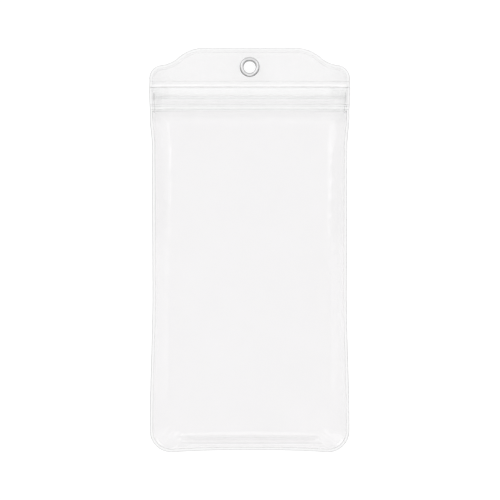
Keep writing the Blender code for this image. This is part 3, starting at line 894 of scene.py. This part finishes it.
def turned(name, profile):
    """A closed profile of (radius, height) turned about the eyelet's axis."""
    profile = np.asarray(profile)
    skin = Skin()
    rows = []
    for turn in np.linspace(0.0, 2 * math.pi, TURN_STEPS, endpoint=False):
        x, y = profile[:, 0] * math.cos(turn), EYELET_Y + profile[:, 0] * math.sin(turn)
        rows.append(skin.row(x, y, profile[:, 1]))
    skin.bands(rows + rows[:1])
    piece = bpy.data.objects.new(name, skin.mesh(name, turn_outwards))
    bpy.context.collection.objects.link(piece)
    return piece


def walled(line, thickness):
    """The closed outline of sheet metal whose middle follows a line of (radius, height)."""
    line = np.asarray(line)
    along = np.gradient(line, axis=0)
    along /= np.linalg.norm(along, axis=1)[:, None]
    side = np.stack([-along[:, 1], along[:, 0]], 1) * thickness / 2
    return np.concatenate([line + side, (line - side)[::-1]])


def eyelet():
    """Domed flange, barrel and the curl that grips the washer."""
    line = BARREL_RADIUS - METAL / 2
    seat = WELD_Z + FIT + FILM + FIT / 2 + METAL / 2
    middle = (FLANGE_RADIUS - METAL / 2 + line) / 2
    half = FLANGE_RADIUS - METAL / 2 - middle
    turn = np.linspace(-0.15, math.pi, 26)
    swing = np.cos(turn)
    swing = np.where(swing < 0, -np.abs(swing) ** ROLL_POWER, swing)
    dome = np.stack([middle + half * swing, seat + DOME_HEIGHT * np.sin(turn)], 1)
    curl_z = WELD_Z - CURL_DROP
    barrel = np.stack([np.full(8, line), np.linspace(seat, curl_z, 10)[1:-1]], 1)
    curl = arc(line + CURL_RADIUS, curl_z, CURL_RADIUS, math.pi, 2.35 * math.pi, 16)
    return turned("rolled_eyelet", walled(np.concatenate([dome, barrel, curl]), METAL))


def washer():
    """The ring behind the header, with rounded rims."""
    inner, outer = BARREL_RADIUS + WASHER_PLAY + WASHER_ROUND, WASHER_RADIUS - WASHER_ROUND
    high = WELD_Z - FILM - FIT - WASHER_ROUND
    low = WELD_Z - FILM - FIT - WASHER_THICKNESS + WASHER_ROUND
    rims = [(outer, high, 0.5), (outer, low, 0.0), (inner, low, -0.5), (inner, high, -1.0)]
    loop = [arc(x, z, WASHER_ROUND, turn * math.pi, (turn - 0.5) * math.pi, 6) for x, z, turn in rims]
    return turned("back_washer", np.concatenate(loop))


# Zip sections, as (place along the pouch, height above the back ply)


def rib_outline():
    """The arrow-headed rib on its tape, with a thick lower edge."""
    tape, bead = 0.00055, 0.00075
    head_low, head_top = 0.0013, 0.00172
    middle = (JAWS_TOP_Y + JAWS_END_Y) / 2
    arrow = [
        (0.0006, tape), (0.0004, tape + 0.0002), (0.0004, head_low), (0.001, head_low - 0.00005),
        (0.00095, head_low + 0.0001), (0.00045, head_top),
    ]
    return [
        (TAPE_TOP_Y, 0.00028), (TAPE_END_Y, 0.00028), (TAPE_END_Y, 0.0004), (TAPE_END_Y + 0.0003, bead),
        (TAPE_END_Y + 0.0009, bead), (TAPE_END_Y + 0.0010, tape),
        *[(middle - out, height) for out, height in arrow],
        *[(middle + out, height) for out, height in reversed(arrow)],
        (TAPE_TOP_Y, tape),
    ]


def groove_outline():
    """The two hooked jaws under their tape."""
    roof, top = 0.00192, 0.0022
    tip, hook, wall = 0.00078, 0.00112, 0.0008
    jaw = [
        (-0.0003, roof), (0.0, roof - 0.0002), (0.0001, tip + 0.0001), (0.0003, tip), (wall + 0.0004, tip),
        (wall + 0.0005, tip + 0.00015), (wall + 0.00045, hook), (wall, hook + 0.00005), (wall, roof),
    ]
    return [
        (TAPE_TOP_Y, top - LIP_SAG), (TAPE_TOP_Y, roof - LIP_SAG),
        *[(JAWS_TOP_Y - inward, height) for inward, height in jaw],
        *[(JAWS_END_Y + inward, height) for inward, height in reversed(jaw)],
        (TAPE_END_Y + 0.0010, roof), (TAPE_END_Y + 0.0009, roof - 0.0002),
        (TAPE_END_Y + 0.0003, roof - 0.0002), (TAPE_END_Y, roof + 0.0001), (TAPE_END_Y, top),
    ]


def profile_mesh(name, outline):
    """A section turned to lie as a profile does before it is swept across the pouch."""
    return polyline(name, [(-y, -(WELD_Z + z), 0.0) for y, z in outline], closed=True)


# Building the pouch


def grey(value):
    return (value, value, value)


film_detail, bands, corners = film_group(), band_group(), corner_group()
bar_tree, zip_tree, ridge_tree = bar_growth(), strip_growth(), ridge_growth()

# Clear and cloudy colours of each plastic, then its painted slant shade, the colour it takes where its
# surface is seen slant
FILM_TINTS = ((0.931, 0.926, 0.929), (0.919, 0.914, 0.917), (0.985, 0.981, 0.983))
HEADER_TINTS = (grey(0.945), grey(0.936), grey(0.87))
SEAM_TINTS = (grey(0.885), grey(0.865), grey(0.44))
WELD_TINTS = (grey(0.95), grey(0.93), grey(0.45))
PRESS_TINTS = (grey(0.98), grey(0.97), grey(0.6))
ZIP_TINTS = ((0.998, 1.0, 0.999), (0.992, 0.995, 0.993), (0.94, 0.945, 0.942))
HEADER_SEAM_SLANT_SHADE = grey(0.62)

front_plastic = clear_plastic("front_film_clear", FILM_TINTS, (0.02, 0.07), 90.0, 0.00001)
back_plastic = clear_plastic("back_film_clear", FILM_TINTS, (0.03, 0.09), 70.0, 0.00001)
header_plastic = clear_plastic("header_film_clear", HEADER_TINTS, (0.02, 0.06), 90.0, 0.000008)
seam_plastic = clear_plastic("fused_seam_clear", SEAM_TINTS, (0.03, 0.1), 300.0, 0.000005, depth=0.75)
zip_clear = clear_plastic("zip_strip_clear", ZIP_TINTS, (0.05, 0.14), 200.0, 0.000004, ior=1.14)
press_plastic = clear_plastic("pressed_ends_clear", PRESS_TINTS, (0.03, 0.1), 300.0, 0.000005)
weld_plastic = clear_plastic("weld_line_clear", WELD_TINTS, (0.03, 0.1), 300.0, 0.000005, depth=0.7)
# grey(0.18) is the colour of the painted edge shade
nickel = plated_metal("polished_nickel", (0.80, 0.80, 0.805), grey(0.18))

WHOLE = dict(Half_Length=1.0, End_Fade=1.0)  # a band right across the pouch


def ends(half_length, end_fade):
    """How long a band's middle is, and how it fades."""
    return dict(Half_Length=half_length, End_Fade=end_fade)


FOLD = ends(0.028, 0.012)
PANEL = ends(0.0415, 0.0012)
# painted shade and painted light in bands across the pouch: material, part of the band, centre, half width,
# fade, length, tint
for material, part, centre, half_width, fade, length, tint in (
    # painted shadow of the upper jaw on the strips beside it
    (zip_clear, "Mask", JAWS_TOP_Y, 0.0001, 0.0022, WHOLE, (0.98, 0.982, 0.981)),
    # painted light on the lip, the palest part of the front film, and on the tape
    (front_plastic, "Mask", (MOUTH_Y + JAWS_TOP_Y) / 2, 0.0014, 0.0014, WHOLE, (1.05, 1.055, 1.052)),
    (front_plastic, "Mask", (JAWS_END_Y + TAPE_END_Y) / 2, 0.0013, 0.0008, WHOLE, (1.045, 1.05, 1.047)),
    # painted shade of the soft fold across the foot
    (front_plastic, "Mask", FOOT_Y + 0.0080, 0.0003, 0.0013, FOLD, grey(0.93)),
    (front_plastic, "Mask", FOOT_Y + 0.0062, 0.0006, 0.0009, FOLD, grey(0.95)),
    (front_plastic, "Mask", FOOT_Y + 0.0048, 0.0001, 0.0005, FOLD, grey(0.91)),
    # painted shade on the lip over the zip's crushed ends, on the film below them and in a band below the
    # tape
    (front_plastic, "Ends", MOUTH_Y - 0.003, 0.0022, 0.0025, ends(0.040, 0.006), grey(0.91)),
    (front_plastic, "Ends", TAPE_END_Y + 0.002, 0.006, 0.003, ends(0.042, 0.006), grey(0.985)),
    (front_plastic, "Mask", TAPE_END_Y - 0.0022, 0.0018, 0.004, WHOLE, (0.965, 0.967, 0.966)),
    # painted shade on the upper flanks, painted light on the lower flanks and beside the foot
    (front_plastic, "Ends", 0.038, 0.026, 0.016, PANEL, grey(0.986)),
    (front_plastic, "Ends", -0.035, 0.036, 0.016, PANEL, grey(1.018)),
    (front_plastic, "Ends", FOOT_Y + 0.005, 0.004, 0.004, ends(0.034, 0.006), grey(1.016)),
    # painted shade at the header's ends, on the seam beside the mouth and on the back film beside the mouth's
    # ends
    (header_plastic, "Ends", MOUTH_Y + 0.007, 0.004, 0.004, ends(0.040, 0.008), grey(0.965)),
    (seam_plastic, "Mask", MOUTH_Y - 0.001, 0.0045, 0.003, WHOLE, grey(0.98)),
    (back_plastic, "Ends", MOUTH_Y + 0.0017, 0.0014, 0.0008, ends(0.0485, 0.0012), grey(0.965)),
):
    tinted(material, bands, part, tint, Centre=centre, Half_Width=half_width, Fade=fade, **length)
# painted highlight and painted shade line along the fold across each foot corner: how far from the corner's
# middle, half width, half length, shade
for radius, half_width, half_length, shade in (
    (0.0087, 0.0005, 0.0036, 1.09),
    (0.0077, 0.0003, 0.0030, 0.95),
):
    tinted(front_plastic, corners, "Mask", grey(shade), Across_Corner=radius, Half_Width=half_width,
           Half_Length=half_length)
# the seam round the header takes a paler painted slant shade, so its edges there are shaded less
paler_slant_shade(seam_plastic, HEADER_SEAM_SLANT_SHADE, Centre=TOP_Y, Half_Width=TOP_Y - MOUTH_Y - 0.009, Fade=0.003,
            **WHOLE)


def painted(piece, material):
    piece.data.materials.clear()
    piece.data.materials.append(material)
    return piece


def place(piece, slot, *nodes):
    """Gives a piece its body and hides the model's parts that it stands for; the slot is not used."""
    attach(piece, "root")
    if nodes:
        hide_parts(*nodes)


place(painted(front_film(), front_plastic), "front_film", "front_sheet")
place(painted(back_film(), back_plastic), "back_film", "back_sheet")
place(painted(header_film(), header_plastic), "header_film", "header_sheet")

# The seam, the weld lines and the lip
PLAIN = dict(rim_place=1.0, rim_fall=1.0, rim_share=1.0, bead_half_width=1.0, bead_share=0.0)
BEADED = dict(rim_place=0.0003, rim_fall=0.00045, rim_share=0.62, bead_place=-0.0003, bead_half_width=0.00034,
              bead_share=0.06)
WELD_BAR_Y = MOUTH_Y + 0.00297
HEADER_LINE = 0.0023  # in from the cut edge
LINE_THICKNESS = 0.00007
LINE_CORNER = 0.00003
SEAL_WIDTH, WELD_WIDTH, HEADER_LINE_WIDTH = 0.00034, 0.0005, 0.0004
LIP_BEAD_DROP = 0.00013
LINE_START = 0.0004  # the header's line begins this far above its weld
SEAM_CROSSING = 0.0006  # over which a line climbs onto the seam
LINE_GAP = 0.00004  # under a line that lies on the film or the seam
OVER_SEAM = SEAM_Z + SEAM_THICKNESS / 2 + LINE_GAP
OVER_HEADER = WELD_Z + SEAM_REST + FILM + LINE_GAP
LINE_END = 0.0003  # a line stops this far short of the cut edge


def bar_along(name, path, z, material, width, thickness, corner, shape=PLAIN, closed=False):
    """A bar swept along a path on the pouch."""
    points = np.column_stack([path, np.broadcast_to(z, len(path))])
    return grown(name, polyline(name, points, closed), bar_tree, width=width, thickness=thickness,
                 corner=corner, material=material, **shape)


def over_seam(x, y):
    """0 inside the side seams, rising to 1 where a line runs out over them."""
    return eased(np.abs(x) - side_x(y) + SEAM_WIDTH + LINE_END, SEAM_CROSSING)


def short_line(y, count):
    """Points across the pouch, from left to right, that stop just short of its cut edges."""
    return line_across(LINE_END - float(side_x(y)), y, count)


def lip_height(x, y):
    """Middle of the lip's film above the floor."""
    height = WELD_Z + mix(over_zip(x) + zip_swell(x, y), SEAM_REST, seam_pinch(x, y)) + FILM / 2
    return mix(height, OVER_SEAM, over_seam(x, y))


def lip_line(name, y, width, thickness, rise):
    """A fine bead across the lip, that follows its film and runs out over the seams."""
    path = short_line(y, LINE_POINTS)
    height = lip_height(*path.T) + rise
    place(bar_along(name, path, height, seam_plastic, width, thickness, thickness * 0.48), "front_film")


place(bar_along("edge_seam", inset(cut_edge(), SEAM_WIDTH / 2), SEAM_Z, seam_plastic, SEAM_WIDTH,
                SEAM_THICKNESS, SEAM_THICKNESS * 0.2, BEADED, closed=True), "back_film")
weld_path = short_line(WELD_BAR_Y, WELD_POINTS)
weld_z = mix(OVER_HEADER, OVER_SEAM - LINE_GAP / 2, over_seam(*weld_path.T))
place(bar_along("header_weld", weld_path, weld_z, weld_plastic, WELD_WIDTH, LINE_THICKNESS, LINE_CORNER),
      "header_film")
line_loop = inset(cut_edge(), HEADER_LINE)
line_loop = line_loop[line_loop[:, 1] > WELD_BAR_Y + LINE_START]
place(bar_along("header_line", line_loop, OVER_HEADER, weld_plastic, HEADER_LINE_WIDTH, LINE_THICKNESS,
                LINE_CORNER), "header_film")
lip_line("lip_bead", MOUTH_Y - LIP_BEAD_DROP, LIP_BEAD, LIP_BEAD * 0.8, 0.0)
for number, (drop, thickness) in enumerate(SEAL_LINES):
    rise = (FILM + thickness) / 2 + LINE_GAP / 2
    lip_line("seal_line_%d" % (number + 1), MOUTH_Y - drop, SEAL_WIDTH, thickness, rise)

# The zip and its crushed ends
STRIP_END = 0.0009  # from a strip's end to the seam
STRIP_MIDDLE = 0.0006  # the height above the back ply at which the strips are crushed
STRIP_SIZES = dict(half_length=HALF_WIDTH - SEAM_WIDTH - STRIP_END,
                   crushed_length=CRUSHED_LENGTH - SEAM_WIDTH, crush_ease=CRUSH_EASE, crushed_share=0.12,
                   middle_height=WELD_Z + STRIP_MIDDLE, material=zip_clear)
for name, outline, node in (
    ("zip_rib", rib_outline(), "zip_rib_strip"),
    ("zip_groove", groove_outline(), "zip_groove_strip"),
):
    place(grown(name, profile_mesh(name, outline), zip_tree, **STRIP_SIZES), "zip_plastic", node)

RIDGE_Z = WELD_Z + CRUSHED_LIP_HEIGHT + FILM + 0.00008
RIDGE_WIDTH, RIDGE_THICKNESS = 0.00042, 0.00012
RIDGE_PITCH = 1.9 * RIDGE_WIDTH
# name, count, first place, step, half of one ridge
for name, count, first, step, half in (
    ("press_ridges", 5, (0.0480, JAWS_TOP_Y - 0.0023, RIDGE_Z), (0.0, -RIDGE_PITCH, 0.0), (0.0018, 0.0, 0.0)),
    ("press_bars", 4, (0.0496, JAWS_TOP_Y - 0.0008, RIDGE_Z), (-0.0012, 0.0, 0.0), (0.0, 0.0010, 0.0)),
):
    ridges = grown(name, polyline(name, [(0.0, 0.0, RIDGE_Z)]), ridge_tree, count=count, first_place=first,
                   step=step, half_ridge=half, width=RIDGE_WIDTH, thickness=RIDGE_THICKNESS,
                   material=press_plastic)
    place(ridges, "front_film")

place(painted(eyelet(), nickel), "eyelet_metal", "eyelet")
place(painted(washer(), nickel), "eyelet_metal", "eyelet_washer")

# Floor, light and camera

WHITE = (1.0, 1.0, 1.0, 1.0)
FLOOR_LIFT = 0.904
SKY_LOW = 0.295
SKY_TILT = 0.28  # more from beyond the header than from the foot
SKY_HIGH = 1.0
VIEW_WIDTH = 500 * 0.52 * MM  # what the picture's width covers
VIEW_SHIFT = 0.0002  # the camera stands this far to the right of the pouch's middle
LENS = 100.0
SENSOR = 36.0


def seen_white(n, *kinds):
    """1 on camera rays and on rays of these kinds that no matt surface has scattered, else 0."""
    rays = n.add("ShaderNodeLightPath").outputs
    unscattered = n.math("LESS_THAN", rays["Diffuse Depth"], 0.5)
    seen = rays["Is Camera Ray"]
    for kind in kinds:
        seen = n.math("MAXIMUM", seen, n.math("MULTIPLY", rays[kind], unscattered))
    return seen


def floor():
    """A wide white floor that is seen as pure white and still takes the pouch's shadow."""
    bpy.ops.mesh.primitive_plane_add(size=6.0, location=(0.0, 0.0, 0.0))
    sheet = bpy.context.object
    sheet.name = "white_floor"
    material, n, node = shader("white_floor", grey(0.2), 0.9, Specular_IOR_Level=0.0, Emission_Color=WHITE)
    lift = n.math("MULTIPLY", seen_white(n, "Is Glossy Ray", "Is Transmission Ray"), FLOOR_LIFT)
    n.feed(node, Emission_Strength=lift)
    sheet.data.materials.append(material)


def area_lamp(name, place_m, size, power):
    """A soft square lamp that looks at the pouch."""
    data = bpy.data.lights.new(name, "AREA")
    data.energy = power
    data.size = size
    lamp = bpy.data.objects.new(name, data)
    bpy.context.collection.objects.link(lamp)
    lamp.location = place_m
    x, y, z = place_m
    lamp.rotation_euler = (math.atan2(math.hypot(x, y), z), 0.0, math.atan2(y, x) + math.pi / 2)


def world():
    """Even studio light, darker towards the horizon, behind a white view."""
    sky = bpy.data.worlds.new("studio")
    bpy.context.scene.world = sky
    sky.use_nodes = True
    n = Tree(sky.node_tree)
    _, y, z = n.axes(n.add("ShaderNodeTexCoord").outputs["Generated"])
    level = n.between(z, To_Min=n.math("MULTIPLY_ADD", y, SKY_TILT, SKY_LOW), To_Max=SKY_HIGH)
    strength = n.add("ShaderNodeMix", Factor=seen_white(n, "Is Transmission Ray"), _2=level, _3=1.0)
    n.feed(n.tree.nodes["Background"], Strength=strength.outputs[0], Color=WHITE)


floor()
world()
area_lamp("key", (-0.9, 0.7, 1.2), 1.0, 2.2)
area_lamp("fill", (0.9, 0.5, 1.2), 0.9, 1.1)
area_lamp("front", (0.0, -1.1, 1.1), 0.9, 1.4)

camera_data = bpy.data.cameras.new("camera")
camera_data.lens = LENS
camera_data.sensor_width = SENSOR
camera = bpy.data.objects.new("camera", camera_data)
bpy.context.collection.objects.link(camera)
camera.location = (VIEW_SHIFT, 0.0, WELD_Z + VIEW_WIDTH * LENS / SENSOR)
bpy.context.scene.camera = camera

scene = bpy.context.scene
scene.view_settings.view_transform = "Standard"
scene.cycles.max_bounces = 24
scene.cycles.transmission_bounces = 24
scene.cycles.glossy_bounces = 8
scene.cycles.transparent_max_bounces = 24
